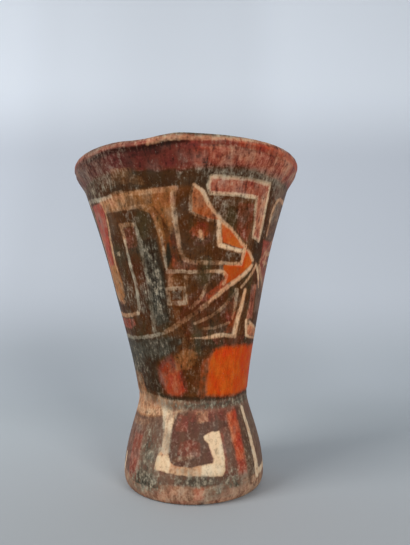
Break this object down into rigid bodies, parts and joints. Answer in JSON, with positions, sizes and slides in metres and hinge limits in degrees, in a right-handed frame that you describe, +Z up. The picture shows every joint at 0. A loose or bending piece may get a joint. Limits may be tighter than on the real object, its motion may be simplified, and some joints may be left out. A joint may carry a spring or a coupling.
{
  "type": "kero cup",
  "caption": "Tall flared drinking cup of slip-painted earthenware, with a pinched waist, a bell-shaped foot and a turned-out rim, built up in luted coils.",
  "frame": {"origin": "centre of the flat underside of the foot", "axes": "+Z up from the table to the mouth, -Y out of the painted front, +X to the right of someone who faces that front"},
  "size_m": [0.119, 0.119, 0.1663],
  "materials": {
    "bare_clay": "matte",
    "foot_slip": "satin",
    "waist_slip": "satin",
    "band_slip": "satin",
    "wall_slip": "satin",
    "rim_slip": "satin"
  },
  "bodies": {
    "root": {"base_disc": "bare_clay", "foot_coil_1": "foot_slip", "foot_coil_2": "foot_slip", "waist_coil": "waist_slip", "wall_coil_1": "band_slip", "wall_coil_2": "wall_slip", "wall_coil_3": "wall_slip", "wall_coil_4": "wall_slip", "wall_coil_5": "wall_slip", "collar_coil": "rim_slip", "lip_coil": "rim_slip"}
  },
  "joints": []
}
